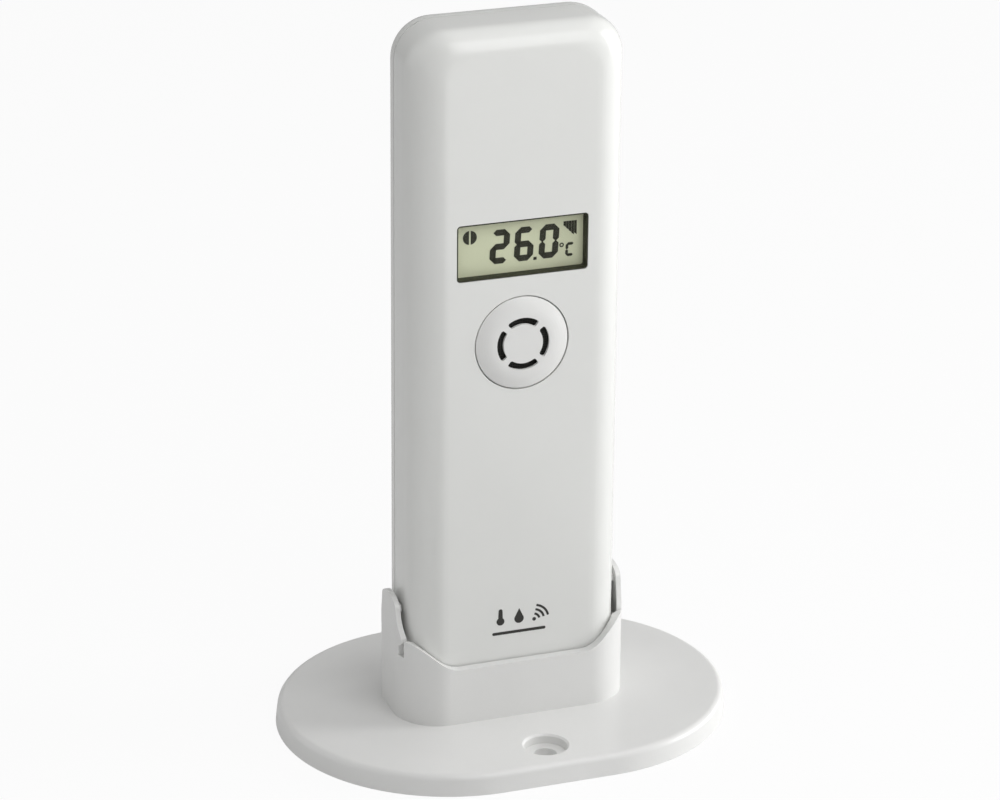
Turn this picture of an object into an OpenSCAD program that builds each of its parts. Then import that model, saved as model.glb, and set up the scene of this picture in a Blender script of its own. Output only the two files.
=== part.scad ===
// Wireless room and outdoor climate sensor in its snap-in stand.
// Millimetres, +Z up. The origin is the centre of the stand's underside; the display faces -Y.

/* [Case] */
// Width of the sensor case
case_w = 39.6; // [39.4:0.1:39.8]
// Depth of the sensor case
case_d = 18.4; // [18.3:0.1:18.6]
// Height of the sensor case
case_h = 128.4; // [126:0.2:132]
// Wall thickness of both shells
wall = 1.6; // [1.5:0.1:1.6]
// Radius of the four long vertical edges
edge_r = 6.3; // [6:0.1:6.6]
// Radius of the four corners in the front view
corner_r = 7; // [6:0.1:7.4]
// Radius of the front top and front bottom edges
front_r = 4.4; // [4:0.1:5]
// Radius of the rear top and rear bottom edges
rear_r = 6; // [5.5:0.1:6.5]

/* [Display and vent] */
// Width of the display opening
display_w = 23.6; // [22:0.1:24]
// Height of the display opening
display_h = 9.8; // [9:0.1:11]
// Height of the display's centre above the table
display_z = 93.05; // [92.5:0.05:94]
// Radius of the round vent cap
vent_r = 8.5; // [8:0.05:8.6]
// Height of the vent cap's centre above the table
vent_z = 75.5; // [75.4:0.02:75.8]
// How far the vent cap's centre stands proud of the case
vent_dome = 0.8; // [0.5:0.1:0.9]

/* [Battery bay] */
// Diameter of one AA cell
cell_d = 14.2; // [13.9:0.1:14.2]
// Length of one AA cell with its button
cell_l = 50.5; // [50:0.1:50.5]
// Height of the battery cover's hinge line
hinge_z = 18; // [18:0.1:18.4]
// Top edge of the battery cover
cover_top = 79.9; // [79.5:0.1:79.9]

/* [Stand] */
// Length of the oval plate
plate_l = 83.7; // [82:0.1:90]
// Depth of the oval plate
plate_d = 63; // [62:0.1:64]
// Thickness of the oval plate
plate_t = 3.9; // [3.9:0.1:4]
// Distance between the two fixing holes
hole_pitch = 47; // [46:0.5:48]
// Radius of the fixing holes
hole_r = 2; // [1.6:0.1:2.2]
// Radius of the recess for a screw head
recess_r = 3.9; // [3.4:0.1:4]
// Height of the holder's front and rear walls above the table
rim_z = 14.6; // [14:0.1:15]
// Height of the two spring ears above the table
ear_z = 26.8; // [26.5:0.1:28]

/* [Hidden] */
$fn = 64;

far = 30;                      // half size of cutting blocks, beyond the case in X and Y
gap = 0.02;                    // hairline gap between neighbouring parts
case_y = 0.1;                  // the case sits this far behind the plate's centre
case_z0 = 4;                   // underside of the case
case_z1 = case_z0 + case_h;
front_y = case_y - case_d / 2;
rear_y = case_y + case_d / 2;
root = 1;                      // inner walls and posts reach to this depth below the outer face

seam_y = 2.25;                 // parting plane between the shells
seam_gap = 0.1;                // from the plane to either shell
lip_gap = 0.15;
lip_t = 1;
lip_end = seam_y + 1.9;        // rear end of the locating lip
seat_y = seam_y + 2.2;         // seat of the case screws
case_holes = [[-11, 121], [11, 121], [0, 9.4]];                      // x, z
board_holes = [[-13, 79.8], [13, 79.8], [-13, 108], [13, 108]];      // x, z

board_y = -3;                  // front of the circuit board
board_t = 1.2;
board_z = [71.8, 115.8];
parts_y = board_y + board_t + 0.01;  // front of the parts on the board's rear face
lcd_y = front_y + 1.9;         // front of the LCD glass

bay_z0 = 13;
bay_z1 = 67.9;
tub_y = front_y + wall + 0.7;  // inner face of the battery tub's front wall
tub_x = 16.2;                  // half width of the tub outside
tub_front = tub_y - 0.6;
tub_back = 20;                 // beyond the case, which trims the tub
tub_end = 1;                   // thickness of the tub's top and bottom
cell_x = 7.45;
cell_y = tub_y + 0.1 + cell_d / 2;
panel_y = 5.2;                 // front face of the set-button panel
panel_t = 1;
button_x = 8.3;
button_z = 75.9;
open_x = 15.4;                 // half width of the battery opening
open_y = 3.5;                  // front of the opening
open_z1 = cover_top + 0.2;
cover_x = open_x - 0.2;        // half width of the battery cover

// ---------- 2D helpers ----------
module rrect(width, height, radius) {
  x = width / 2 - radius;
  y = height / 2 - radius;
  square([2 * x, height], center = true);
  square([width, 2 * y], center = true);
  for (i = [-1, 1], j = [-1, 1]) translate([i * x, j * y]) circle(radius);
}
// Side view of the case, moved inwards: +x is +Y of the part, +y is +Z of the part.
module side_outline(inset) {
  fr = front_r - min(inset, front_r - 1);
  rr = rear_r - inset;
  front = front_y + inset;
  rear = rear_y - inset;
  low = case_z0 + inset;
  high = case_z1 - inset;
  polygon([[front + fr, low], [rear - rr, low], [rear, low + rr], [rear, high - rr],
    [rear - rr, high], [front + fr, high], [front, high - fr], [front, low + fr]]);
  for (z = [low + fr, high - fr]) translate([front + fr, z]) circle(fr);
  for (z = [low + rr, high - rr]) translate([rear - rr, z]) circle(rr);
}

// ---------- 3D helpers ----------
// A block given by its two corners.
module block(low, high) { translate(low) cube(high - low); }
// A block centred on x = 0, with its spans in y and z.
module mid_block(half_w, y, z) { block([-half_w, y[0], z[0]], [half_w, y[1], z[1]]); }
module y_cylinder(x, z, radius, y_min, y_max) {
  translate([x, y_max, z]) rotate([90, 0, 0]) cylinder(r = radius, h = y_max - y_min);
}
module x_cylinder(x_min, x_max, y, z, radius) {
  translate([x_min, y, z]) rotate([0, 90, 0]) cylinder(r = radius, h = x_max - x_min);
}
// A cylinder along Y at each [x, z] place.
module y_cylinders(places, radius, y_min, y_max) {
  for (p = places) y_cylinder(p[0], p[1], radius, y_min, y_max);
}
// A sketch in the front view, made solid along Y.
module front_prism(y_min, y_max) {
  translate([0, y_max, 0]) rotate([90, 0, 0]) linear_extrude(y_max - y_min) children();
}
// A sketch in the side view (x is Y, y is Z), made solid along X.
module side_prism(x_min, x_max) {
  translate([x_min, 0, 0]) rotate([90, 0, 90]) linear_extrude(x_max - x_min) children();
}
module both_sides() { for (m = [0, 1]) mirror([m, 0, 0]) children(); }
// A rounded rectangle about the display's centre, and a disc about the vent's.
module display_prism(y_min, y_max, width, height, radius) {
  front_prism(y_min, y_max) translate([0, display_z]) rrect(width, height, radius);
}
module vent_disc(radius, y_min, y_max) { y_cylinder(0, vent_z, radius, y_min, y_max); }

// The case's whole outer form, moved inwards.
module case_form(inset) {
  width = case_w - 2 * inset;
  intersection() {
    translate([0, 0, case_z0 - 5]) linear_extrude(case_h + 10)
      translate([0, case_y]) rrect(width, case_d - 2 * inset, edge_r - inset);
    side_prism(-case_w, case_w) side_outline(inset);
    front_prism(-case_d, case_d) translate([0, (case_z0 + case_z1) / 2])
      rrect(width, case_h - 2 * inset, corner_r - inset);
  }
}
// The part of a form that belongs to one shell.
module front_part() {
  intersection() { children(); mid_block(far, [-far, seam_y - seam_gap], [0, 200]); }
}
module rear_part(y_max = far) {
  intersection() { children(); mid_block(far, [seam_y + seam_gap, y_max], [0, 200]); }
}

// ---------- Stand: plate ----------
plate_rim_r = 1.3;
plate_draft = 0.3;
plate_wall = 2.2;              // width of the rim left round the hollow underside
hollow_z = 1.9;                // roof of the hollow
rib_t = 1.2;
oval_x = (plate_l - plate_d) / 2;  // centres of the round ends

// Half section of the plate: a slight draft, then a rounded top rim.
module plate_half() {
  edge = plate_d / 2;
  polygon(concat(
    [[0, 0], [edge, 0]],
    [for (a = [8:16.4:90]) [edge - plate_draft - plate_rim_r + plate_rim_r * cos(a),
      plate_t - plate_rim_r + plate_rim_r * sin(a)]],
    [[0, plate_t]]));
}
module plate_body() {
  for (s = [-1, 1]) translate([s * oval_x, 0, 0]) rotate([0, 0, -90 * s])
    rotate_extrude(angle = 180) plate_half();
  side_prism(-oval_x, oval_x) {
    plate_half();
    mirror([1, 0]) plate_half();
  }
}
module plate_hollow() {
  depth = plate_d - 2 * plate_wall;
  translate([0, 0, -1]) linear_extrude(hollow_z + 1) {
    for (x = [-oval_x, oval_x]) translate([x, 0]) circle(depth / 2);
    square([2 * oval_x, depth], center = true);
  }
}
module plate() {
  difference() {
    plate_body();
    difference() {
      plate_hollow();
      // bosses round the fixing holes, and ribs
      for (s = [-1, 1]) translate([0, s * hole_pitch / 2, -2]) cylinder(r = 6.2, h = 6);
      for (x = [-20, 0, 20]) translate([x - rib_t / 2, -plate_d / 2, -2]) cube([rib_t, plate_d, 6]);
      translate([-plate_l / 2, -rib_t / 2, -2]) cube([plate_l, rib_t, 6]);
    }
    for (s = [-1, 1]) translate([0, s * hole_pitch / 2, 0]) {
      translate([0, 0, -1]) cylinder(r = hole_r, h = plate_t + 2);
      translate([0, 0, plate_t - 1.8]) cylinder(r = recess_r, h = 3);
      translate([0, 0, plate_t - 0.35]) cylinder(r1 = recess_r, r2 = recess_r + 0.45, h = 0.45);
    }
  }
}

// ---------- Stand: holder ----------
holder_gap = 0.25;
holder_wall = 1.65;
ear_slot = 6.35;               // half width of the slot that frees an ear
slot_z = 16.3;                 // bottom of that slot
ear_wall = 0.9;
thin_z = 17.2;                 // the ears are thinned above this height
rim_x0 = 11.8;                 // the rim rises from here
rim_x1 = 21.2;                 // to here
rim_rise = 5.1;
tip_w = 3.95;                  // half width of an ear's tip
tip_h = 2.2;
flank_w = 5.7;
flank_h = 4.6;
bulge_x = 5;
bulge_r = 0.9;
stem_w = 4.9;

function reversed(points) = [for (i = [len(points) - 1:-1:0]) points[i]];
// Right half of the rim line in the front view: a raised cosine up to the posts.
function rim_half(steps = 8) = [for (i = [0:steps])
  [rim_x0 + (rim_x1 - rim_x0) * i / steps, rim_z + rim_rise * (1 - cos(180 * i / steps)) / 2]];
// Half outline of an ear in the side view: elliptical tip, hollow flank, small rounded
// bulge, straight stem. Columns: distance from the ear's centre line, z.
function ear_half() = let(flank_z = ear_z - tip_h) concat(
  [for (a = [9:13.5:90]) [tip_w * sin(a), flank_z + tip_h * cos(a)]],
  [for (i = [1:6]) [tip_w + (flank_w - tip_w) * pow(i / 6, 1.6), flank_z - flank_h * i / 6]],
  [for (a = [20:-20:-80])
    [bulge_x + bulge_r * cos(a), flank_z - flank_h - 0.6 + bulge_r * sin(a)]],
  [[stem_w, ear_z - 8.6], [stem_w, slot_z - 1]]);
// Racetrack round the case's plan, moved outwards.
module case_track(offset_out) {
  translate([0, case_y])
    rrect(case_w + 2 * offset_out, case_d + 2 * offset_out, edge_r + offset_out);
}
module ear_shape() {
  half = ear_half();
  polygon(concat([for (p = half) [case_y - p[0], p[1]]],
    [for (p = reversed(half)) [case_y + p[0], p[1]]]));
}
// Region that keeps the front and rear walls, the posts and the two ears.
module holder_region() {
  rim = rim_half();
  side_x = case_w / 2 + holder_gap + holder_wall + 1;
  post_z = rim_z + rim_rise;
  difference() {
    front_prism(-20, 20) polygon(concat([[-side_x, 0], [side_x, 0], [side_x, post_z]],
      reversed(rim), [for (p = rim) [-p[0], p[1]]], [[-side_x, post_z]]));
    mid_block(far, [case_y - ear_slot, case_y + ear_slot], [slot_z, slot_z + 20]);
  }
  both_sides() side_prism(13, 30) ear_shape();
}
module holder() {
  difference() {
    intersection() {
      translate([0, 0, plate_t - 0.5]) linear_extrude(ear_z) difference() {
        case_track(holder_gap + holder_wall);
        case_track(holder_gap);
      }
      holder_region();
    }
    // thin the ears from inside, leaving a snap ridge near each tip
    difference() {
      translate([0, 0, thin_z]) linear_extrude(20)
        case_track(holder_gap + holder_wall - ear_wall);
      both_sides() side_prism(10, 30) polygon([[case_y - 2.6, ear_z - 3],
        [case_y + 2.6, ear_z - 3], [case_y + 2.3, ear_z - 1.9], [case_y - 2.3, ear_z - 1.9]]);
      for (y = [case_y + ear_slot, case_y - ear_slot - 20]) mid_block(far, [y, y + 20], [10, 40]);
    }
  }
}
module stand() {
  color("whitesmoke") union() {
    plate();
    holder();
  }
}

// ---------- Shells ----------
module front_shell() {
  color("white") difference() {
    union() {
      difference() {
        front_part() case_form(0);
        case_form(wall);
      }
      intersection() {
        case_form(root);
        union() {
          y_cylinders(case_holes, 2.4, front_y + 1, seam_y - seam_gap);
          y_cylinders(board_holes, 2.1, front_y + 1, board_y - gap);
        }
      }
    }
    y_cylinders(case_holes, 1, front_y + 3.2, seam_y + 1);
    y_cylinders(board_holes, 0.8, front_y + 2.5, board_y + 1);
    // display opening, and the wider pocket behind it
    display_prism(front_y - 2, front_y + 2.2, display_w + 0.6, display_h + 0.6, 0.7);
    display_prism(front_y + 1.2, front_y + 4, 28.2, 15.8, 1);
    // seat of the vent cap, and the air passage behind it
    vent_disc(vent_r + 0.25, front_y - 2, front_y + 1.05);
    vent_disc(vent_r - 1.2, front_y - 2, front_y + 4);
  }
}
module opening() { mid_block(open_x, [open_y, 20], [hinge_z - 1, open_z1]); }
module locating_lip() {
  difference() {
    union() {
      intersection() {
        case_form(wall + lip_gap);
        mid_block(far, [seam_y - 2.1, lip_end], [0, 200]);
      }
      rear_part(lip_end) case_form(root);
    }
    case_form(wall + lip_gap + lip_t);
    // clearance for the lower screw post
    block([-6, -2, 0], [6, 10, 7.3]);
  }
}
// Battery tub, set-button panel and the screw tubes, before the case trims them.
module rear_walls() {
  tub_depth = [tub_front, tub_back];
  tub_z = [bay_z0 - tub_end, bay_z1 + tub_end];
  frame_top = open_z1 + 1;
  mid_block(tub_x, tub_depth, [tub_z[0], bay_z0]);
  mid_block(tub_x, tub_depth, [bay_z1, tub_z[1]]);
  both_sides() block([15, tub_front, tub_z[0]], [tub_x, tub_back, tub_z[1]]);
  mid_block(tub_x, [tub_front, tub_y], tub_z);
  mid_block(tub_x, [panel_y, panel_y + panel_t], [bay_z1, frame_top]);
  mid_block(tub_x, [panel_y, tub_back], [open_z1, frame_top]);
  both_sides() block([open_x, panel_y, bay_z1], [tub_x, tub_back, frame_top]);
  y_cylinders(case_holes, 3.1, seam_y + seam_gap, rear_y);
}
module rear_shell() {
  color("white") difference() {
    union() {
      difference() {
        rear_part() case_form(0);
        case_form(wall);
        opening();
      }
      locating_lip();
      intersection() {
        union() {
          case_form(wall + lip_gap);
          difference() {
            rear_part() case_form(root);
            opening();
          }
        }
        rear_walls();
      }
    }
    y_cylinders(case_holes, 2.1, seat_y, rear_y + 2);
    y_cylinders(case_holes, 1.15, seam_y - 3, seat_y + 1);
    // slots for the contact tabs, the set button's hole and a thumb scoop
    for (x = [-tab_x, tab_x]) block([x - 1.6, -0.4, bay_z1 - 1], [x + 1.6, 0.6, bay_z1 + 3]);
    y_cylinder(button_x, button_z, 1.7, panel_y - 2, panel_y + 3);
    translate([0, rear_y + 7.4, open_z1 + 2.6]) sphere(8.4);
  }
}
module battery_cover() {
  hook_y = rear_y - 2.7;
  hook_top = 19.2;
  color("white") {
    intersection() {
      case_form(0);
      union() {
        difference() {
          mid_block(cover_x, [open_y, 20], [hinge_z, cover_top]);
          case_form(1.6);
        }
        x_cylinder(-cover_x, cover_x, rear_y - 0.8, hinge_z, 0.8);
      }
    }
    // hook inside the shell's edge below the opening
    mid_block(1.5, [hook_y, rear_y - 1.8], [15.4, hook_top]);
    mid_block(1.5, [hook_y, rear_y - 1], [hinge_z + 0.1, hook_top]);
    // one rib across the inside, and grip ribs outside
    mid_block(11, [rear_y - 2.6, rear_y - 1], [69.1, 70.1]);
    for (z = [70.2, 72.4, 74.6]) mid_block(5.5, [rear_y - 1, rear_y + 0.35], [z, z + 0.9]);
  }
}

// ---------- Vent and sensor ----------
// Half section of the vent cap: flat middle, domed shoulder, straight skirt.
// x is the radius, y points out of the case.
module cap_half() {
  flat_r = 4.9;
  steps = 7;
  top = vent_dome - 0.1;
  polygon(concat([[0, top]],
    [for (i = [0:steps])
      [flat_r + (vent_r - flat_r) * i / steps, top - vent_dome * pow(i / steps, 2)]],
    [[vent_r, -1], [vent_r - 1.2, -1], [vent_r - 1.2, -0.4], [vent_r - 2.3, -0.4],
      [vent_r - 3.1, 0.15], [0, 0.15]]));
}
function polar(radius, angle) = radius * [cos(angle), sin(angle)];
function arc(radius, half) = [for (i = [0:8]) polar(radius, half * (i / 4 - 1))];
// One air slot: an arc between two radii, its corners cut.
module air_slot(inner_r, outer_r, half_angle, cut) {
  half = half_angle - cut * 180 / PI / inner_r;
  polygon(concat(arc(outer_r, half),
    [polar(outer_r - cut, half_angle), polar(inner_r + cut, half_angle)],
    arc(inner_r, -half),
    [polar(inner_r + cut, -half_angle), polar(outer_r - cut, -half_angle)]));
}
module vent_cap() {
  color("whitesmoke") difference() {
    translate([0, front_y, vent_z]) rotate([90, 0, 0]) rotate_extrude() cap_half();
    for (a = [0:90:270]) translate([0, front_y + 2, vent_z]) rotate([90, 0, 0])
      rotate([0, 0, a]) linear_extrude(4)
        air_slot(inner_r = 3.65, outer_r = 4.85, half_angle = 37, cut = 0.22);
  }
}
module dust_filter() { color("dimgray") vent_disc(vent_r - 1.3, front_y + 0.45, front_y + 0.85); }
module sensor_duct() {
  color("dimgray") difference() {
    vent_disc(6.4, front_y + 0.9, board_y - 0.05);
    vent_disc(5.5, front_y, board_y + 1);
  }
}
module humidity_sensor() {
  color("white") difference() {
    mid_block(1.5, [board_y - 1, board_y - 0.01], [vent_z - 1.5, vent_z + 1.5]);
    vent_disc(0.5, board_y - 2, board_y - 0.7);
  }
}

// ---------- Display ----------
// A block centred on x = 0, with y from the LCD's front and z from the display's centre.
module lcd_block(half_w, y, z) {
  translate([0, lcd_y, display_z]) mid_block(half_w, y, z);
}
module display_window() {
  color("lightcyan")
    display_prism(front_y + 0.35, front_y + 1.15, display_w - 0.1, display_h - 0.1, 0.35);
}
module display_frame() {
  color("darkslategray") difference() {
    union() {
      display_prism(front_y + 0.2, front_y + 1.5, display_w + 0.5, display_h + 0.5, 0.65);
      display_prism(front_y + 1.25, lcd_y + 1.9, 27.8, 15.4, 0.8);
    }
    display_prism(front_y - 1, lcd_y + 3, display_w, display_h, 0.4);
    lcd_block(13.3, [-0.05, 3], [-7.1, 7.1]);
  }
}
// Front glass, and the shorter rear glass that bares a ledge below.
module lcd_panel() {
  color("darkseagreen") {
    lcd_block(13.2, [0, 0.9], [-7, 7]);
    lcd_block(13.2, [0.85, 1.7], [-4.6, 7]);
  }
}
module lcd_reflector() { color("darkkhaki") lcd_block(12.9, [1.72, 1.95], [-4.3, 6.8]); }
module zebra_connector() {
  color("pink") lcd_block(12.6, [0.92, board_y - gap - lcd_y], [-6.9, -4.9]);
}

// ---------- Circuit board ----------
module circuit_board() {
  color("seagreen") difference() {
    mid_block(16, [board_y, board_y + board_t], board_z);
    y_cylinders(board_holes, 1.15, board_y - 1, board_y + 3);
  }
}
// Stands a part on the board's rear face, its +Z turned to +Y.
module on_board(x, z) { translate([x, parts_y, z]) rotate([-90, 0, 0]) children(); }
module microcontroller() {
  color("black") {
    mid_block(5, [parts_y, parts_y + 1.3], [89, 99]);
    for (i = [0:8]) both_sides()
      block([4.9, parts_y, 89.8 + i], [6.2, parts_y + 0.3, 90.2 + i]);
  }
}
module radio_chip() {
  pin_pitch = 1.15;
  color("black") {
    block([2, parts_y, 104.5], [7, parts_y + 1.2, 108.5]);
    for (i = [0:3], z = [103.7, 108.4])
      translate([2.5 + i * pin_pitch, parts_y, z]) cube([0.5, 0.25, 0.9]);
  }
}
module quartz_crystal() {
  color("silver") on_board(-6, 105) {
    linear_extrude(3.4) rrect(10, 4, 1.95);
    linear_extrude(0.5) rrect(10.8, 4.8, 2.35);
  }
}
module capacitor() {
  color("midnightblue") on_board(-11.4, 96) {
    cylinder(r = 2.5, h = 5.4);
    translate([0, 0, 5.3]) cylinder(r = 2.2, h = 0.3);
  }
}
// Wire swept round a helix along +Z and closed with end caps.
// A straight leg may run into its start along +Y.
module coil(coil_r, wire_r, z_min, z_max, turns, per_turn, sides, leg = 0) {
  steps = round(turns * per_turn);
  function ring(i) = let(t = i / steps, turn = 360 * turns * t,
      mid_z = z_min + wire_r + (z_max - z_min - 2 * wire_r) * t)
    [for (k = [0:sides - 1]) let(a = 360 * k / sides, radius = coil_r + wire_r * cos(a))
      [radius * cos(turn), radius * sin(turn), mid_z + wire_r * sin(a)]];
  rings = concat(leg > 0 ? [[for (p = ring(0)) [p[0], p[1] - leg, p[2]]]] : [],
    [for (i = [0:steps]) ring(i)]);
  last = len(rings) - 1;
  faces = concat([[for (k = [0:sides - 1]) k]],
    [[for (k = [sides - 1:-1:0]) last * sides + k]],
    [for (i = [0:last - 1], k = [0:sides - 1])
      let(a = i * sides + k, b = i * sides + (k + 1) % sides)
      each [[a, a + sides, b], [b, a + sides, b + sides]]]);
  polyhedron(points = [for (g = rings) each g], faces = faces);
}
module antenna_coil() {
  coil_y = 2.9;
  color("goldenrod") translate([0, coil_y, 0])
    coil(coil_r = 2.2, wire_r = 0.35, z_min = 112.2, z_max = 127, turns = 8,
      per_turn = 18, sides = 6, leg = coil_y - parts_y);
}
module set_switch() {
  color("black") {
    block([button_x - 3, parts_y, button_z - 3], [button_x + 3, parts_y + 3.3, button_z + 3]);
    y_cylinder(button_x, button_z, 1.7, parts_y + 3.2, parts_y + 3.6);
  }
}
module set_button() {
  color("gray") {
    y_cylinder(button_x, button_z, 1.6, 2.45, panel_y + 1.6);
    y_cylinder(button_x, button_z, 2.4, panel_y - 1.3, panel_y - 0.1);
  }
}

// ---------- Battery bay ----------
cell_gap = 0.47;               // from a cell's button to the bay's end
contact_x = 13.4;              // outer edge of the contact plates
contact_y = [-5.4, 6.4];
contact_t = 0.4;
spring_gap = contact_t + 2 * gap;  // from the bay's end to a spring
tab_x = 4.5;

// One AA cell standing on its flat end, button up.
module cell() {
  cylinder(r = cell_d / 2, h = cell_l - 1.5);
  translate([0, 0, cell_l - 1.6]) cylinder(r = cell_d / 2 - 0.9, h = 0.5);
  cylinder(r = 2.7, h = cell_l);
}
module contact_spring(x, z_min, z_max) {
  translate([x, cell_y, 0]) coil(coil_r = 3.6, wire_r = 0.35, z_min = z_min, z_max = z_max,
    turns = 2.5, per_turn = 24, sides = 8);
}
module battery_left() {
  color("darkorange") translate([-cell_x, cell_y, bay_z1 - cell_gap - cell_l]) cell();
}
module battery_right() {
  color("darkorange") translate([cell_x, cell_y, bay_z0 + cell_gap + cell_l])
    mirror([0, 0, 1]) cell();
}
module bridge_plate() {
  color("silver") mid_block(contact_x, contact_y, [bay_z0 + gap, bay_z0 + gap + contact_t]);
}
module bridge_spring() {
  color("silver")
    contact_spring(-cell_x, bay_z0 + spring_gap, bay_z1 - cell_gap - gap - cell_l);
}
// Contact plate at the right of the bay's top, with its solder tab.
module tab_plate() {
  block([2, contact_y[0], bay_z1 - gap - contact_t], [contact_x, contact_y[1], bay_z1 - gap]);
  block([tab_x - 1.4, -0.15, bay_z1 - 0.3], [tab_x + 1.4, 0.25, bay_z1 + 3]);
}
module positive_plate() { color("silver") mirror([1, 0, 0]) tab_plate(); }
module negative_plate() { color("silver") tab_plate(); }
module negative_spring() {
  color("silver")
    contact_spring(cell_x, bay_z0 + cell_gap + gap + cell_l, bay_z1 - spring_gap);
}
// Insulated lead on the right: up beside the contact's tab, across, and onto the board.
module lead() {
  radius = 0.55;
  y = 0.95;
  low_z = bay_z1 + 1.4;
  top_z = 80.5;
  board_x = 9;
  translate([tab_x, y, low_z]) cylinder(r = radius, h = top_z - low_z);
  x_cylinder(tab_x, board_x, y, top_z, radius);
  y_cylinder(board_x, top_z, radius, parts_y + gap, y);
  for (x = [tab_x, board_x]) translate([x, y, top_z]) sphere(radius * 1.12);
}
module lead_red() { color("red") mirror([1, 0, 0]) lead(); }
module lead_black() { color("black") lead(); }

// ---------- Fasteners ----------
// A cross-head screw at each place, driven towards -Y.
module cross_screws(places, y_seat, head_r, head_h, shank_r, length) {
  for (p = places) difference() {
    union() {
      y_cylinder(p[0], p[1], head_r, y_seat, y_seat + head_h);
      y_cylinder(p[0], p[1], shank_r, y_seat - length, y_seat + 0.2);
    }
    for (a = [0, 90]) translate([p[0], y_seat + head_h, p[1]]) rotate([0, a, 0])
      cube([head_r * 1.15, 1.2, 0.45], center = true);
  }
}
module case_screws() {
  color("silver") cross_screws(case_holes, seat_y + gap,
    head_r = 1.8, head_h = 1.3, shank_r = 0.97, length = 7.5);
}
module board_screws() {
  color("silver") cross_screws(board_holes, parts_y + 0.01,
    head_r = 1.7, head_h = 1.1, shank_r = 0.77, length = 4.5);
}

stand();
front_shell();
rear_shell();
battery_cover();
vent_cap();
dust_filter();
sensor_duct();
humidity_sensor();
display_window();
display_frame();
lcd_panel();
lcd_reflector();
zebra_connector();
circuit_board();
microcontroller();
radio_chip();
quartz_crystal();
capacitor();
antenna_coil();
set_switch();
set_button();
battery_left();
battery_right();
bridge_plate();
bridge_spring();
positive_plate();
negative_plate();
negative_spring();
lead_red();
lead_black();
case_screws();
board_screws();
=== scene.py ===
"""A white sensor with a display, held in a low stand.

X runs across the width, the display faces -Y and Z points up from the floor. Places and sizes
are in millimetres unless a comment says metres; meshes are scaled to metres when made.
"""
from contextlib import contextmanager
from math import asin, cos, pi, radians, sin, sqrt

import bpy, bmesh
from mathutils import Matrix, Vector
from mathutils.bvhtree import BVHTree
from mathutils.interpolate import poly_3d_calc


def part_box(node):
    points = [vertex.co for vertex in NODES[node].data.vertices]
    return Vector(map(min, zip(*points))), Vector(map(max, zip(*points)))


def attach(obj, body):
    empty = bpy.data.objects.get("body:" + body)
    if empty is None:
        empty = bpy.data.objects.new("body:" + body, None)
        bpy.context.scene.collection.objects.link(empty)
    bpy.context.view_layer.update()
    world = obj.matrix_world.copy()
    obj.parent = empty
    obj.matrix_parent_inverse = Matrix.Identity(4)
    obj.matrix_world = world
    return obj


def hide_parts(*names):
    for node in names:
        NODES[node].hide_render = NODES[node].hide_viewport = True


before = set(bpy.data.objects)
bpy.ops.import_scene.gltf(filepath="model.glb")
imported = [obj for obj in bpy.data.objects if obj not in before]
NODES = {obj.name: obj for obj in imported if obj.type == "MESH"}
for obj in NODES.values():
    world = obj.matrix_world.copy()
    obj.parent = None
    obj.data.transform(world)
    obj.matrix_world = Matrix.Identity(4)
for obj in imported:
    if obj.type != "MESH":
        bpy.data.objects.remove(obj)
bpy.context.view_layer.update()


MM = 0.001

# ---------------------------------------------------------------- places taken from the frame
front_low, front_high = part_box("front_shell")
rear_low, rear_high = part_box("rear_shell")
CASE_FRONT, CASE_BACK = front_low.y / MM, rear_high.y / MM
CASE_BOTTOM, CASE_TOP = rear_low.z / MM, rear_high.z / MM
CASE_HALF_WIDTH = front_high.x / MM
LCD_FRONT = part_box("lcd_panel")[0].y / MM


# ---------------------------------------------------------------- mesh helpers
@contextmanager
def editing(mesh):
    """Open a mesh as a bmesh and write it back at the end."""
    bm = bmesh.new()
    bm.from_mesh(mesh)
    yield bm
    bm.to_mesh(mesh)
    bm.free()


def link_object(name, mesh):
    obj = bpy.data.objects.new(name, mesh)
    bpy.context.scene.collection.objects.link(obj)
    return obj


def new_object(name, verts, faces):
    mesh = bpy.data.meshes.new(name)
    mesh.from_pydata([tuple(c * MM for c in vert) for vert in verts], [], faces)
    mesh.validate()
    with editing(mesh) as bm:
        bmesh.ops.recalc_face_normals(bm, faces=bm.faces)
    return link_object(name, mesh)


def copy_node(node, name):
    """A copy of a frame piece, with its doubled vertices joined."""
    mesh = NODES[node].data.copy()
    mesh.materials.clear()
    obj = link_object(name, mesh)
    with editing(mesh) as bm:
        bmesh.ops.remove_doubles(bm, verts=bm.verts, dist=2e-6)
        bmesh.ops.recalc_face_normals(bm, faces=bm.faces)
    return obj


def dissolve_flat(bm, degrees):
    bmesh.ops.dissolve_limit(bm, angle_limit=radians(degrees), verts=bm.verts, edges=bm.edges)


def paint(obj, material):
    mesh = obj.data
    mesh.materials.clear()
    mesh.materials.append(material)
    mesh.polygons.foreach_set("material_index", [0] * len(mesh.polygons))


def smooth(obj, degrees, weighted=True):
    mesh = obj.data
    mesh.polygons.foreach_set("use_smooth", [True] * len(mesh.polygons))
    mesh.set_sharp_from_angle(angle=radians(degrees))
    if weighted:
        modifier = obj.modifiers.new("wn", "WEIGHTED_NORMAL")
        modifier.keep_sharp = True
        modifier.weight = 80


def apply_modifiers(obj):
    bpy.context.view_layer.update()
    depsgraph = bpy.context.evaluated_depsgraph_get()
    mesh = bpy.data.meshes.new_from_object(obj.evaluated_get(depsgraph))
    obj.modifiers.clear()
    obj.data = mesh


# ---------------------------------------------------------------- flat outlines, as (x, z) points
def arc(x, z, radius, angles):
    """Points round a centre, at angles in degrees."""
    return [(x + radius * cos(radians(a)), z + radius * sin(radians(a))) for a in angles]


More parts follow.
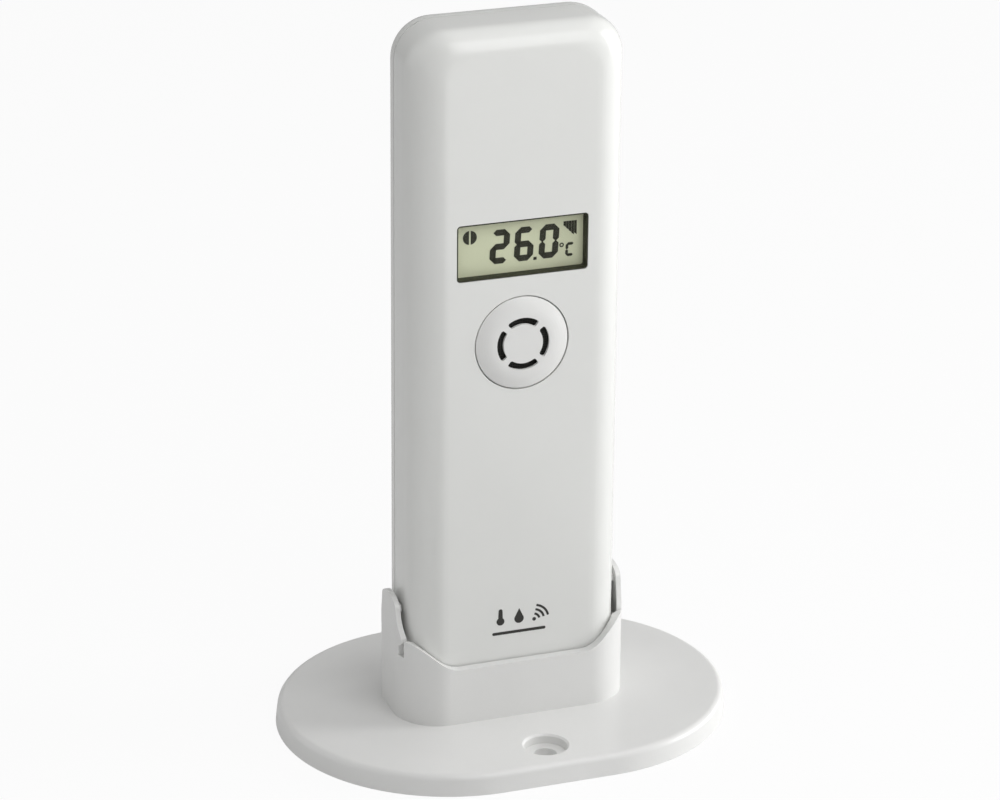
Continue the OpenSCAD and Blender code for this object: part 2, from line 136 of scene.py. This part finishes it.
def rounded_rectangle(half_width, half_height, radius, steps, z):
    points = []
    for k, (side_x, side_z) in enumerate([(1, 1), (-1, 1), (-1, -1), (1, -1)]):
        angles = [k * 90 + 90 * i / steps for i in range(steps + 1)]
        points += arc(side_x * (half_width - radius), z + side_z * (half_height - radius),
                      radius, angles)
    return points


# ---------------------------------------------------------------- node helpers
class NodeGraph:
    """Adds nodes to a tree; an input is given a value or the output to link it to."""

    def __init__(self, tree):
        self.tree = tree

    def add(self, kind, inputs={}, **settings):
        node = self.tree.nodes.new("ShaderNode" + kind)
        for key, value in settings.items():
            setattr(node, key, value)
        for key, value in inputs.items():
            if isinstance(value, bpy.types.NodeSocket):
                self.tree.links.new(value, node.inputs[key])
            else:
                node.inputs[key].default_value = value
        return node

    def mix_shaders(self, factor, first, second):
        return self.add("MixShader", {0: factor, 1: first, 2: second}).outputs[0]


class MaterialGraph(NodeGraph):
    def __init__(self, name):
        self.material = bpy.data.materials.new(name)
        self.material.use_nodes = True
        super().__init__(self.material.node_tree)
        self.tree.nodes.clear()
        self.coords = self.add("TexCoord").outputs["Object"]

    def finish(self, shader):
        self.add("OutputMaterial", {0: shader})
        return self.material

    def principled(self, inputs):
        return self.add("BsdfPrincipled", inputs).outputs[0]

    def mapped(self, inputs):
        return self.add("Mapping", {"Vector": self.coords, **inputs}).outputs[0]

    def noise(self, scale, detail, stretch=None):
        vector = self.mapped({"Scale": stretch}) if stretch else self.coords
        return self.add("TexNoise", {"Scale": scale, "Detail": detail, "Vector": vector})

    def ramp(self, source, stops, interpolation="LINEAR"):
        """Stops are (position, rgb)."""
        node = self.add("ValToRGB", {0: source})
        elements = node.color_ramp.elements
        while len(elements) < len(stops):
            elements.new(0.5)
        for element, (position, rgb) in zip(elements, stops):
            element.position = position
            element.color = (*rgb, 1)
        node.color_ramp.interpolation = interpolation
        return node.outputs[0]

    def map_range(self, value, limits, **settings):
        return self.add("MapRange", {"Value": value, **limits}, **settings).outputs[0]

    def math(self, operation, a, b, clamp=False):
        return self.add("Math", {0: a, 1: b}, operation=operation, use_clamp=clamp).outputs[0]

    def bump(self, height, strength):
        return self.add("Bump", {"Strength": strength, "Distance": 0.0001,
                                 "Height": height}).outputs[0]


# ---------------------------------------------------------------- materials
def surface(name, rgb, rough, metal=0.0, grain=2500, bump=0.05, tint_change=0.03,
            rough_change=0.06, coat=0.0, stretch=None, glow=None):
    """A plain surface with broad changes of tint and a fine grain in roughness and bump.

    glow is an optional (rgb, strength) of emitted light.
    """
    g = MaterialGraph(name)
    broad = g.noise(scale=60, detail=4, stretch=stretch)
    fine = g.noise(scale=grain, detail=2, stretch=stretch).outputs["Fac"]
    dark = tuple(c * (1 - tint_change) for c in rgb)
    light = tuple(c * (1 + tint_change) for c in rgb)
    inputs = {
        "Base Color": g.ramp(broad.outputs["Fac"], [(0.35, dark), (0.65, light)]),
        "Roughness": g.map_range(fine, {"To Min": rough - rough_change,
                                        "To Max": rough + rough_change}),
        "Normal": g.bump(fine, bump),
        "Metallic": metal,
        "Coat Weight": coat,
        "Coat Roughness": 0.08,
    }
    if glow:
        inputs["Emission Color"] = (*glow[0], 1)
        inputs["Emission Strength"] = glow[1]
    return g.finish(g.principled(inputs))


def axis_bands(name, node, axis, stops, rough, metal_stops=None):
    """Hard-edged bands of colour along one axis, from end to end of a frame piece."""
    low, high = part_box(node)
    g = MaterialGraph(name)
    along = g.map_range(g.add("SeparateXYZ", {0: g.coords}).outputs[axis],
                        {"From Min": getattr(low, axis.lower()),
                         "From Max": getattr(high, axis.lower())})
    bands = g.ramp(along, stops, "CONSTANT")
    noise = g.noise(scale=2500, detail=2)
    mottled = g.add("Mix", {"Factor": 0.12, "A": bands, "B": noise.outputs["Color"]},
                    data_type="RGBA", blend_type="MULTIPLY")
    inputs = {
        "Base Color": mottled.outputs["Result"],
        "Roughness": rough,
        "Normal": g.bump(noise.outputs["Fac"], 0.06),
    }
    if metal_stops:
        inputs["Metallic"] = g.ramp(along, metal_stops, "CONSTANT")
    return g.finish(g.principled(inputs))


def cell_material(node, up):
    """A battery: bare ends, a dark sleeve and a copper band near the upper or the lower end."""
    bare = ((0.66, 0.65, 0.62), (1, 1, 1))          # (colour, metallic)
    sleeve = ((0.02, 0.025, 0.035), (0, 0, 0))
    copper = ((0.62, 0.3, 0.13), (0.7, 0.7, 0.7))
    if up:
        bands = [(0.0, bare), (0.012, sleeve), (0.68, copper), (0.955, bare)]
    else:
        bands = [(0.0, bare), (0.045, copper), (0.32, sleeve), (0.988, bare)]
    return axis_bands(node + "_sleeve", node, "Z", [(start, band[0]) for start, band in bands],
                      rough=0.28, metal_stops=[(start, band[1]) for start, band in bands])


def zebra_material():
    colours = [(0.5, 0.25, 0.3), (0.08, 0.06, 0.06)]
    return axis_bands("zebra", "zebra_connector", "Y",
                      [(i / 10, colours[i % 2]) for i in range(10)], rough=0.6)


def board_material():
    g = MaterialGraph("solder_mask")
    brick = g.add("TexBrick", {
        "Scale": 260, "Mortar Size": 0.06,
        "Color1": (0.012, 0.11, 0.04, 1), "Color2": (0.014, 0.13, 0.045, 1),
        "Mortar": (0.03, 0.22, 0.08, 1),
        "Vector": g.mapped({"Rotation": (radians(90), 0, 0)}),
    })
    return g.finish(g.principled({
        "Base Color": brick.outputs["Color"],
        "Normal": g.bump(brick.outputs["Fac"], 0.2),
        "Roughness": 0.32, "Coat Weight": 0.3,
    }))


def clear_material():
    """Transparent, with a faint reflection only on outer faces turned to the front."""
    g = MaterialGraph("clear_window")
    clear = g.add("BsdfTransparent", {"Color": (0.985, 0.99, 0.975, 1)}).outputs[0]
    noise = g.noise(scale=300, detail=2).outputs["Fac"]
    rough = g.map_range(noise, {"To Min": 0.04, "To Max": 0.09})
    gloss = g.add("BsdfGlossy", {"Roughness": rough}).outputs[0]
    fresnel = g.add("Fresnel", {"IOR": 1.16}).outputs[0]
    geometry = g.add("NewGeometry").outputs
    normal_y = g.add("SeparateXYZ", {0: geometry["Normal"]}).outputs["Y"]
    facing_front = g.math("MULTIPLY", normal_y, -1.0, clamp=True)
    reflection = g.math("MULTIPLY", facing_front, fresnel)
    outer = g.math("SUBTRACT", 1.0, geometry["Backfacing"])
    return g.finish(g.mix_shaders(g.math("MULTIPLY", reflection, outer), clear, gloss))


def weave_material():
    g = MaterialGraph("filter_weave")
    threads = [g.add("TexWave", {"Scale": 700, "Vector": g.coords},
                     bands_direction=axis).outputs["Fac"] for axis in "XZ"]
    weave = g.math("MAXIMUM", *threads)
    return g.finish(g.principled({
        "Base Color": g.ramp(weave, [(0.3, (0.006, 0.006, 0.005)), (0.95, (0.035, 0.035, 0.03))]),
        "Roughness": 0.9,
        "Normal": g.bump(weave, 0.4),
    }))


WHITE = surface("case_white", (0.78, 0.785, 0.765), rough=0.24, grain=2600, bump=0.006,
                tint_change=0.008, rough_change=0.012, coat=0.2)
STAND = surface("stand_white", (0.78, 0.78, 0.768), rough=0.33, grain=2200, bump=0.07,
                tint_change=0.014, rough_change=0.05, coat=0.1)
INK = surface("printed_ink", (0.035, 0.034, 0.03), rough=0.5, grain=5000, bump=0.1,
              tint_change=0.15)
SEGMENTS = surface("lcd_segments", (0.02, 0.021, 0.01), rough=0.5, grain=3000, bump=0.0,
                   tint_change=0.1)
CHIP = surface("chip_epoxy", (0.02, 0.02, 0.022), rough=0.5, bump=0.12, tint_change=0.15)
NICKEL = surface("nickel_spring", (0.7, 0.69, 0.65), rough=0.28, metal=1.0, grain=1800,
                 bump=0.06, stretch=(1, 1, 6))
STEEL = surface("zinc_screw", (0.6, 0.6, 0.6), rough=0.32, metal=1.0, bump=0.08)

NODE_MATERIALS = dict(
    stand=STAND, front_shell=WHITE, rear_shell=WHITE, battery_cover=WHITE,
    vent_cap=surface("vent_white", (0.78, 0.78, 0.765), rough=0.34, grain=2600,
                     tint_change=0.01, coat=0.1),
    dust_filter=weave_material(),
    sensor_duct=surface("duct_black", (0.02, 0.02, 0.02), rough=0.6, grain=1800, bump=0.12,
                        tint_change=0.15),
    humidity_sensor=surface("sensor_ceramic", (0.7, 0.7, 0.66), rough=0.45),
    display_window=clear_material(),
    display_frame=surface("frame_olive", (0.028, 0.03, 0.013), rough=0.7, grain=1800,
                          bump=0.1, tint_change=0.1),
    # The glow stands in for light scattered back by the reflector film.
    lcd_panel=surface("lcd_glass", (0.61, 0.63, 0.475), rough=0.45, grain=1200, bump=0.02,
                      tint_change=0.02, rough_change=0.03, glow=((1.0, 0.985, 0.69), 0.05)),
    lcd_reflector=surface("reflector_film", (0.5, 0.5, 0.38), rough=0.4, grain=1500),
    zebra_connector=zebra_material(),
    circuit_board=board_material(), microcontroller=CHIP, radio_chip=CHIP,
    quartz_crystal=surface("plated_can", (0.72, 0.72, 0.7), rough=0.22, metal=1.0,
                           stretch=(1, 1, 12)),
    capacitor=surface("capacitor_sleeve", (0.03, 0.04, 0.14), rough=0.3, bump=0.03, coat=0.3),
    antenna_coil=surface("copper_wire", (0.72, 0.36, 0.2), rough=0.3, metal=1.0, grain=1500,
                         bump=0.06),
    set_switch=CHIP,
    set_button=surface("button_grey", (0.22, 0.225, 0.225), rough=0.5, bump=0.1),
    battery_left=cell_material("battery_left", up=True),
    battery_right=cell_material("battery_right", up=False),
    bridge_plate=NICKEL, bridge_spring=NICKEL,
    positive_plate=NICKEL, negative_plate=NICKEL, negative_spring=NICKEL,
    lead_red=surface("lead_red", (0.45, 0.02, 0.015), rough=0.38),
    lead_black=surface("lead_black", (0.015, 0.015, 0.015), rough=0.38),
    case_screws=STEEL, board_screws=STEEL,
)

for name, obj in NODES.items():
    paint(obj, NODE_MATERIALS[name])
    # The cover is nearly all flat faces, so almost every edge stays sharp.
    smooth(obj, 4 if name == "battery_cover" else 38)

# ---------------------------------------------------------------- case shells
CASE_INSET = 0.02           # the smooth form lies this far inside the frame's box
SIDE_ROUND = 6.3            # rounding of the left and right sides
FRONT_ROUND = 4.4           # rounding of the top and bottom edges, at the front
REAR_ROUND = 6.0            # and at the rear
CORNER = 7.0                # corner radius seen from the front, at full width
FRONT_CORNER = 5.0          # the same at the front face
REAR_CORNER = 5.4           # and at the rear face
ROUND_ANGLES = (0, 3, 6, 10, 14, 19, 24, 30, 36, 43, 50, 58, 66, 74, 82, 90)


def case_section(depth, edge_round, face_corner):
    """Half width, half height and corner radius at a depth behind the front or rear face."""
    half_width = (CASE_HALF_WIDTH - SIDE_ROUND
                  + sqrt(max(0, SIDE_ROUND ** 2 - (SIDE_ROUND - depth) ** 2)))
    rise = edge_round
    if depth < edge_round:
        rise = sqrt(max(0, edge_round ** 2 - (edge_round - depth) ** 2))
    half_height = (CASE_TOP - CASE_BOTTOM) / 2 - edge_round + rise
    widening = half_width - CASE_HALF_WIDTH + SIDE_ROUND
    corner = face_corner + (CORNER - face_corner) * widening / SIDE_ROUND
    return half_width, half_height, corner


def case_form(name):
    """The whole rounded outside of the case as one closed solid."""
    depths = [SIDE_ROUND * (1 - cos(radians(angle))) for angle in ROUND_ANGLES]
    stations = [(CASE_FRONT + d, *case_section(d, FRONT_ROUND, FRONT_CORNER)) for d in depths]
    stations += [(CASE_BACK - d, *case_section(d, REAR_ROUND, REAR_CORNER))
                 for d in reversed(depths)]
    rings = []
    for y, half_width, half_height, corner in stations:
        y = min(max(y, CASE_FRONT + CASE_INSET), CASE_BACK - CASE_INSET)
        if rings and abs(y - rings[-1][0][1]) <= 1e-4:
            continue                                # the same place as the last ring
        outline = rounded_rectangle(half_width - CASE_INSET, half_height - CASE_INSET, corner,
                                    steps=12, z=(CASE_BOTTOM + CASE_TOP) / 2)
        rings.append([(x, y, z) for x, z in outline])
    return loft(name, rings)


def loft(name, rings):
    """A solid through rings of equal count, closed at both ends."""
    verts = [point for ring in rings for point in ring]
    n = len(rings[0])
    faces = []
    for i in range(len(rings) - 1):
        for k in range(n):
            a, b = i * n + k, i * n + (k + 1) % n
            faces.append((a, b, b + n, a + n))
    faces.append(tuple(range(n)))
    faces.append(tuple(range(len(verts) - n, len(verts))))
    return new_object(name, verts, faces)


def form_normals(obj, form):
    """Give outer faces the form's own normals, so that cut-outs leave no streaks in shading."""
    points = [vert.co.copy() for vert in form.data.vertices]
    point_normals = [vert.normal.copy() for vert in form.data.vertices]
    polys = [tuple(poly.vertices) for poly in form.data.polygons]
    tree = BVHTree.FromPolygons(points, polys)
    mesh = obj.data
    mesh.update()
    normals = [corner.vector.copy() for corner in mesh.corner_normals]
    for poly in mesh.polygons:
        place, normal, _, distance = tree.find_nearest(poly.center)
        if place is None or distance > 5e-5 or normal.dot(poly.normal) < 0.9:
            continue                                # not on the outside (distance in metres)
        for loop in poly.loop_indices:
            vert = mesh.vertices[mesh.loops[loop].vertex_index]
            place, normal, index, _ = tree.find_nearest(vert.co)
            corners = polys[index]
            if len(corners) <= 4:                   # a side face, not an end cap
                weights = poly_3d_calc([points[k] for k in corners], place)
                normal = Vector((0, 0, 0))
                for k, weight in zip(corners, weights):
                    normal += point_normals[k] * weight
            normals[loop] = normal.normalized()
    mesh.normals_split_custom_set(normals)


def build_shell(node, name):
    """A frame shell trimmed to the smooth form."""
    form = case_form(name + "_form")
    shell = copy_node(node, name)
    trim = shell.modifiers.new("b", "BOOLEAN")
    trim.object = form
    trim.operation = "INTERSECT"
    trim.solver = "EXACT"
    apply_modifiers(shell)
    with editing(shell.data) as bm:
        bmesh.ops.remove_doubles(bm, verts=bm.verts, dist=3e-6)
        dissolve_flat(bm, 0.4)
    paint(shell, WHITE)
    smooth(shell, 32, weighted=False)
    form_normals(shell, form)
    bpy.data.objects.remove(form)
    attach(shell, "sensor")
    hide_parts(node)


build_shell("front_shell", "front_case")
build_shell("rear_shell", "rear_case")

# ---------------------------------------------------------------- stand
BEVEL_WIDTH = 0.7
BEVEL_RIM, BEVEL_HIGH, BEVEL_LOW = 1.0, 0.34, 0.5       # shares of the bevel width
SLOT_MIDDLE_Y, SLOT_REACH = 0.1, 6.8                    # rim edges lie further out than this
RIM_ABOVE, HIGH_ABOVE = 10, 15                          # heights that sort the edges


def build_stand():
    """The stand with its moulded edges softened."""
    stand = copy_node("stand", "stand_moulding")
    with editing(stand.data) as bm:
        dissolve_flat(bm, 0.6)
    with editing(stand.data) as bm:
        layers = bm.edges.layers.float
        share = layers.get("bevel_weight_edge") or layers.new("bevel_weight_edge")
        for edge in bm.edges:
            if len(edge.link_faces) != 2 or edge.calc_face_angle(0) < radians(38):
                continue
            middle = (edge.verts[0].co + edge.verts[1].co) / 2 / MM
            if middle.z > RIM_ABOVE and abs(middle.y - SLOT_MIDDLE_Y) > SLOT_REACH:
                edge[share] = BEVEL_RIM             # the wall's top edge, outside the slots
            else:
                edge[share] = BEVEL_HIGH if middle.z > HIGH_ABOVE else BEVEL_LOW
    bevel = stand.modifiers.new("bevel", "BEVEL")
    bevel.width = BEVEL_WIDTH * MM
    bevel.segments = 4
    bevel.limit_method = "WEIGHT"
    bevel.use_clamp_overlap = True
    apply_modifiers(stand)
    paint(stand, STAND)
    smooth(stand, 40)
    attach(stand, "stand")
    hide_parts("stand")


build_stand()


# ---------------------------------------------------------------- flat inked shapes
def add_inked(name, outlines, y, thickness, material):
    """Closed (x, z) outlines laid at y and thickened towards the front."""
    verts, faces = [], []
    for outline in outlines:
        b, n = len(verts), len(outline)
        verts += [(x, y, z) for x, z in outline] + [(x, y - thickness, z) for x, z in outline]
        faces.append(tuple(range(b, b + n)))
        faces.append(tuple(range(b + 2 * n - 1, b + n - 1, -1)))
        for k in range(n):
            after = (k + 1) % n
            faces.append((b + k, b + after, b + n + after, b + n + k))
    obj = new_object(name, verts, faces)
    paint(obj, material)
    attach(obj, "sensor")


# ---------------------------------------------------------------- display figures
FIGURE_Y = LCD_FRONT - 0.01
FIGURE_THICKNESS = 0.03
SLANT = 0.055                                   # sideways lean per unit of height
# Bars of each figure: a top, b and c right, d bottom, e and f left, g middle.
FIGURE_BARS = {"2": "abged", "6": "afgedc", "0": "abcdef", "C": "afed"}
# Figure, x and z of its lower left corner, width, height, stroke.
FIGURES = [
    ("2", -5.55, 89.93, 3.55, 6.25, 1.12),
    ("6", -1.05, 89.93, 3.55, 6.25, 1.12),
    ("0", 3.52, 89.93, 3.6, 6.25, 1.12),
]
UNIT_FIGURE = ("C", 8.5, 89.88, 1.65, 2.55, 0.5)
DECIMAL_POINT = [(2.62, 89.88), (3.22, 89.88), (3.25, 90.43), (2.65, 90.43)]


def pointed_bar(x0, z0, x1, z1, stroke):
    start, end = Vector((x0, z0)), Vector((x1, z1))
    along = Vector((x1 - x0, z1 - z0))
    along /= along.length
    side = Vector((-along.y, along.x)) * stroke / 2
    tip = along * stroke / 2
    return [start, start + tip + side, end - tip + side, end, end - tip - side,
            start + tip - side]


def figure(char, x, z, width, height, stroke):
    overlap = 0.10 * stroke
    left, right = stroke / 2, width - stroke / 2
    low, middle, high = stroke / 2, height / 2, height - stroke / 2
    bars = dict(
        a=(left, high, right, high), g=(left, middle, right, middle), d=(left, low, right, low),
        f=(left, middle, left, high), e=(left, low, left, middle),
        b=(right, middle, right, high), c=(right, low, right, middle),
    )
    outlines = []
    for key in FIGURE_BARS[char]:
        x0, z0, x1, z1 = bars[key]
        dx, dz = (overlap, 0) if z0 == z1 else (0, overlap)
        bar = pointed_bar(x0 - dx, z0 - dz, x1 + dx, z1 + dz, stroke)
        outlines.append([(x + px + SLANT * pz, z + pz) for px, pz in bar])
    return outlines


def ring(x, z, inner_radius, outer_radius, steps=24):
    angles = [360 * k / steps for k in range(steps + 1)]
    inner, outer = arc(x, z, inner_radius, angles), arc(x, z, outer_radius, angles)
    return [[inner[k], outer[k], outer[k + 1], inner[k + 1]] for k in range(steps)]


def hanging_bars(left, top, pitch=0.5, width=0.47):
    """Five bars side by side with slanted lower ends, longer to the right."""
    outlines = []
    for i in range(5):
        x, drop = left + pitch * i, 0.5 * min(i, 3)
        outlines.append([(x, top), (x, top - 0.75 - drop),
                         (x + width, top - 1.1 - drop), (x + width, top)])
    return outlines


def half_disc(x, z, radius, side, gap):
    """Half a disc to one side, cut off at gap from the centre line."""
    start = asin(gap / radius)
    angles = [start + (pi - 2 * start) * k / 16 for k in range(17)]
    return [(x + side * radius * sin(a), z + radius * cos(a)) for a in angles]


lcd_outlines = [outline for entry in FIGURES for outline in figure(*entry)]
lcd_outlines.append(DECIMAL_POINT)
lcd_outlines += figure(*UNIT_FIGURE)
lcd_outlines += ring(7.85, 92.08, inner_radius=0.2, outer_radius=0.42)
lcd_outlines += hanging_bars(left=8.15, top=96.38)
add_inked("lcd_figures", lcd_outlines, FIGURE_Y, FIGURE_THICKNESS, SEGMENTS)
add_inked("lcd_round_icon",
          [half_disc(-9.1, 95.28, radius=1.28, side=side, gap=0.16) for side in (-1, 1)],
          FIGURE_Y, FIGURE_THICKNESS, SEGMENTS)


# ---------------------------------------------------------------- printed symbols on the case
def thermometer(x, bulb_z, tip_z):
    return arc(x, bulb_z, 0.75, range(-235, 56, 10)) + arc(x, tip_z, 0.38, range(0, 181, 20))


def water_drop(x, z, radius):
    return arc(x, z, radius, range(-220, 41, 10)) + [(x, z + radius * 2.25)]


def wave(x, z, radius, width=0.42, start=12, end=78, steps=14):
    """A band along part of a circle, between two angles in degrees."""
    angles = [start + (end - start) * i / steps for i in range(steps + 1)]
    return arc(x, z, radius + width, angles) + arc(x, z, radius, reversed(angles))


symbols = [thermometer(-3.55, bulb_z=22.15, tip_z=24.22), water_drop(0, 22.3, 0.9)]
symbols += [wave(2.7, 21.6, radius) for radius in (1.0, 1.85, 2.7)]
symbols.append(arc(2.9, 21.75, 0.36, range(0, 360, 18)))                # dot by the waves
symbols.append(rounded_rectangle(5.1, 0.28, 0.27, steps=5, z=19.8))     # rule below
add_inked("printed_symbols", symbols, CASE_FRONT + 0.03, 0.035, INK)

# ---------------------------------------------------------------- floor
FLOOR_HALF, FLOOR_Z = 3000, -0.05
CAMERA_WHITE = 0.92         # share of plain white that the camera sees in the floor
PATCH_SHADE = 0.75          # how far the patch is darkened in reflections
# Axis, start and end of the fade in metres, whether the patch begins or ends there.
PATCH_EDGES = [
    ("X", -0.085, -0.045, "begins"), ("X", 0.03, 0.045, "ends"),
    ("Y", -0.6, -0.5, "begins"), ("Y", -0.05, -0.03, "ends"),
]


def floor_material():
    """Pale paper; reflections see a dark patch in front of the stand."""
    g = MaterialGraph("floor_paper")
    noise = g.noise(scale=40, detail=3).outputs["Fac"]
    paper = g.ramp(noise, [(0.3, (0.84, 0.84, 0.84)), (0.7, (0.86, 0.86, 0.86))])
    place = g.add("SeparateXYZ", {0: g.coords}).outputs
    edges = []
    for axis, start, end, kind in PATCH_EDGES:
        limits = {"From Min": start, "From Max": end}
        if kind == "ends":
            limits.update({"To Min": 1.0, "To Max": 0.0})
        edges.append(g.map_range(place[axis], limits, interpolation_type="SMOOTHSTEP"))
    patch = g.math("MULTIPLY", g.math("MULTIPLY", *edges[:2]), g.math("MULTIPLY", *edges[2:]))
    patch = g.math("MULTIPLY", patch, g.add("LightPath").outputs["Is Glossy Ray"])
    colour = g.add("Mix", {"Factor": g.math("MULTIPLY", patch, PATCH_SHADE),
                           "A": paper, "B": (0.03, 0.03, 0.03, 1)}, data_type="RGBA")
    lit = g.principled({"Base Color": colour.outputs["Result"], "Roughness": 0.9})
    # The camera sees mostly white; the light in the scene is not changed.
    white = g.add("Emission", {"Strength": 1.0}).outputs[0]
    camera_ray = g.add("LightPath").outputs["Is Camera Ray"]
    share = g.math("MULTIPLY", camera_ray, CAMERA_WHITE)
    return g.finish(g.mix_shaders(share, lit, white))


floor_corners = [(x * FLOOR_HALF, y * FLOOR_HALF, FLOOR_Z)
                 for x, y in [(-1, -1), (1, -1), (1, 1), (-1, 1)]]
floor = new_object("floor", floor_corners, [(0, 1, 2, 3)])
paint(floor, floor_material())

# ---------------------------------------------------------------- world, lights and camera
scene = bpy.context.scene
WORLD_STRENGTH = 0.3
# Name, place, aim and size in metres, power in watts.
LIGHTS = [
    ("right_low", (0.9, 0.15, 0.12), (0, 0, 0.06), (0.4, 0.3), 2.5),
    ("top", (0.05, -0.1, 1.0), (0, 0, 0.05), (1.3, 1.3), 2.9),
    ("front_high", (0.06, -0.2, 0.27), (0, -0.01, 0.12), (0.2, 0.2), 0.27),
    ("front_low", (0.05, -1.1, 0.15), (0, 0, 0.07), (0.6, 0.3), 0.05),
    ("left_back", (-0.9, 0.38, 0.3), (0, 0, 0.07), (0.9, 1.0), 1.4),
    ("key_graze", (0.9, -0.25, 0.3), (0, 0, 0.07), (0.3, 0.5), 4.3),
]
CAMERA_PLACE = (-0.2162, -0.5956, 0.3171)       # metres
CAMERA_RIGHT = (0.9413, -0.3375, 0.0079)
CAMERA_FORWARD = (0.3157, 0.8718, -0.3745)


def build_world():
    """Dim white light, seen by the camera as full white."""
    world = bpy.data.worlds.new("studio")
    scene.world = world
    world.use_nodes = True
    nodes = world.node_tree.nodes
    g = NodeGraph(world.node_tree)
    dim = nodes["Background"]
    dim.inputs["Color"].default_value = (1, 1, 1, 1)
    dim.inputs["Strength"].default_value = WORLD_STRENGTH
    full = g.add("Background", {"Color": (1, 1, 1, 1), "Strength": 1.0})
    camera_ray = g.add("LightPath").outputs["Is Camera Ray"]
    mixed = g.mix_shaders(camera_ray, dim.outputs[0], full.outputs[0])
    g.tree.links.new(mixed, nodes["World Output"].inputs[0])


def add_light(name, place, aim, size, power):
    light = bpy.data.lights.new(name, "AREA")
    light.shape = "RECTANGLE"
    light.size, light.size_y = size
    light.energy = power
    obj = link_object(name, light)
    obj.location = place
    obj.rotation_euler = (Vector(aim) - Vector(place)).to_track_quat("-Z", "Y").to_euler()


def add_camera():
    data = bpy.data.cameras.new("camera")
    data.sensor_width = 36
    data.lens = 138.03
    data.clip_start, data.clip_end = 0.01, 20
    data.shift_x = -0.001
    camera = link_object("camera", data)
    forward = Vector(CAMERA_FORWARD).normalized()
    up = Vector(CAMERA_RIGHT).normalized().cross(forward).normalized()
    right = forward.cross(up).normalized()      # squared up to the other two
    rows = zip(right, up, -forward, CAMERA_PLACE)
    camera.matrix_world = Matrix((*rows, (0, 0, 0, 1)))
    scene.camera = camera


build_world()
for entry in LIGHTS:
    add_light(*entry)
add_camera()
scene.view_settings.view_transform = "Standard"
